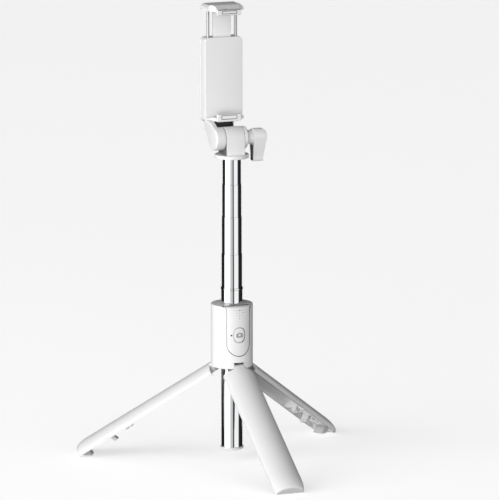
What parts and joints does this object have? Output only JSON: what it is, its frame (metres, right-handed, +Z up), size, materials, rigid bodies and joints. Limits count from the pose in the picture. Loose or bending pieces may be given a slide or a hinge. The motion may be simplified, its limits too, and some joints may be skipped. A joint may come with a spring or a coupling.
{
  "type": "selfie stick",
  "caption": "White selfie stick that opens into a table tripod: hub with detachable shutter remote, folding channel legs, chrome telescopic tube, tilting sprung phone clamp.",
  "frame": {"origin": "middle of the tube end cap's flat underside, on the stick's axis; the floor under the open tripod is 8.1 mm below it", "axes": "+Z up along the stick, -Y to the front, where the remote's button and the phone's screen face"},
  "size_m": [0.192, 0.1685, 0.3122],
  "materials": {
    "white_gloss": "smooth white moulded plastic, semi-gloss",
    "nylon": "natural nylon, matte",
    "chrome": "bright chrome plate, drawn along the tube",
    "steel": "turned steel",
    "brass": "turned brass",
    "jaw_rubber": "soft grey silicone",
    "foot_rubber": "grey anti-slip rubber",
    "circuit_board": "green solder mask",
    "black_plastic": "black moulded plastic",
    "clear_plastic": "smoked clear plastic"
  },
  "bodies": {
    "hub": {"hub_shell": "white_gloss", "leg_bracket": "nylon", "leg_pin_front": "steel", "leg_pin_right": "steel", "leg_pin_left": "steel", "outer_tube": "chrome", "tube_collar": "chrome", "tube_end_cap": "white_gloss"},
    "leg_front": {"leg_shell_front": "white_gloss", "foot_pad_front": "foot_rubber"},
    "leg_right": {"leg_shell_right": "white_gloss", "foot_pad_right": "foot_rubber"},
    "leg_left": {"leg_shell_left": "white_gloss", "foot_pad_left": "foot_rubber"},
    "section_4": {"tube_section_4": "chrome", "tube_bushing_4": "nylon"},
    "section_3": {"tube_section_3": "chrome", "tube_bushing_3": "nylon"},
    "section_2": {"tube_section_2": "chrome", "tube_bushing_2": "nylon"},
    "section_1": {"tube_section_1": "chrome", "tube_bushing_1": "nylon", "swivel_post": "steel", "swivel_clip": "steel"},
    "head": {"head_base": "white_gloss", "tilt_washer": "white_gloss"},
    "clamp": {"clamp_frame": "white_gloss", "clamp_back_cover": "white_gloss", "cover_screw_left": "steel", "cover_screw_right": "steel", "jaw_pad_lower": "jaw_rubber", "tilt_nut": "brass", "clamp_spring_left": "steel", "clamp_spring_right": "steel"},
    "jaw": {"upper_jaw": "white_gloss", "jaw_pad_upper": "jaw_rubber", "guide_rod_left": "steel", "guide_rod_right": "steel"},
    "knob": {"wing_knob": "white_gloss", "tilt_bolt": "steel"},
    "remote": {"remote_front": "white_gloss", "remote_back": "white_gloss", "remote_board": "circuit_board", "remote_switch": "black_plastic", "remote_light_pipe": "clear_plastic", "coin_cell": "steel"},
    "button": {"remote_button": "white_gloss"}
  },
  "joints": [
    {"name": "leg_front_fold", "type": "hinge", "parent": "hub", "child": "leg_front", "pos_m": [0, -0.01, 0.05766], "axis": [1, 0, 0], "range_deg": [0, 57]},
    {"name": "leg_right_fold", "type": "hinge", "parent": "hub", "child": "leg_right", "pos_m": [0.00866, 0.005, 0.05766], "axis": [-0.5, 0.866, 0], "range_deg": [0, 57]},
    {"name": "leg_left_fold", "type": "hinge", "parent": "hub", "child": "leg_left", "pos_m": [-0.00866, 0.005, 0.05766], "axis": [-0.5, -0.866, 0], "range_deg": [0, 57]},
    {"name": "section_4_slide", "type": "slide", "parent": "hub", "child": "section_4", "axis": [0, 0, 1], "range_m": [-0.0231, 0.06]},
    {"name": "section_3_slide", "type": "slide", "parent": "section_4", "child": "section_3", "axis": [0, 0, 1], "range_m": [-0.0251, 0.057]},
    {"name": "section_2_slide", "type": "slide", "parent": "section_3", "child": "section_2", "axis": [0, 0, 1], "range_m": [-0.0217, 0.056]},
    {"name": "section_1_slide", "type": "slide", "parent": "section_2", "child": "section_1", "axis": [0, 0, 1], "range_m": [-0.0173, 0.057]},
    {"name": "head_swivel", "type": "hinge", "parent": "section_1", "child": "head", "pos_m": [0, 0, 0.2039], "axis": [0, 0, 1], "continuous": true},
    {"name": "clamp_tilt", "type": "hinge", "parent": "head", "child": "clamp", "pos_m": [0, 0, 0.2148], "axis": [1, 0, 0], "range_deg": [-60, 90]},
    {"name": "knob_turn", "type": "hinge", "parent": "head", "child": "knob", "pos_m": [0, 0, 0.2148], "axis": [1, 0, 0], "range_deg": [-60, 360]},
    {"name": "upper_jaw_slide", "type": "slide", "parent": "clamp", "child": "jaw", "axis": [0, 0, 1], "range_m": [-0.017, 0.013], "deforming": ["clamp_spring_left", "clamp_spring_right"]},
    {"name": "remote_release", "type": "slide", "parent": "hub", "child": "remote", "axis": [0, -1, 0], "range_m": [0, 0.025]},
    {"name": "button_press", "type": "slide", "parent": "remote", "child": "button", "axis": [0, 1, 0], "range_m": [0, 0.0004], "stiffness_N_per_m": 900, "springref_m": -0.0008}
  ]
}
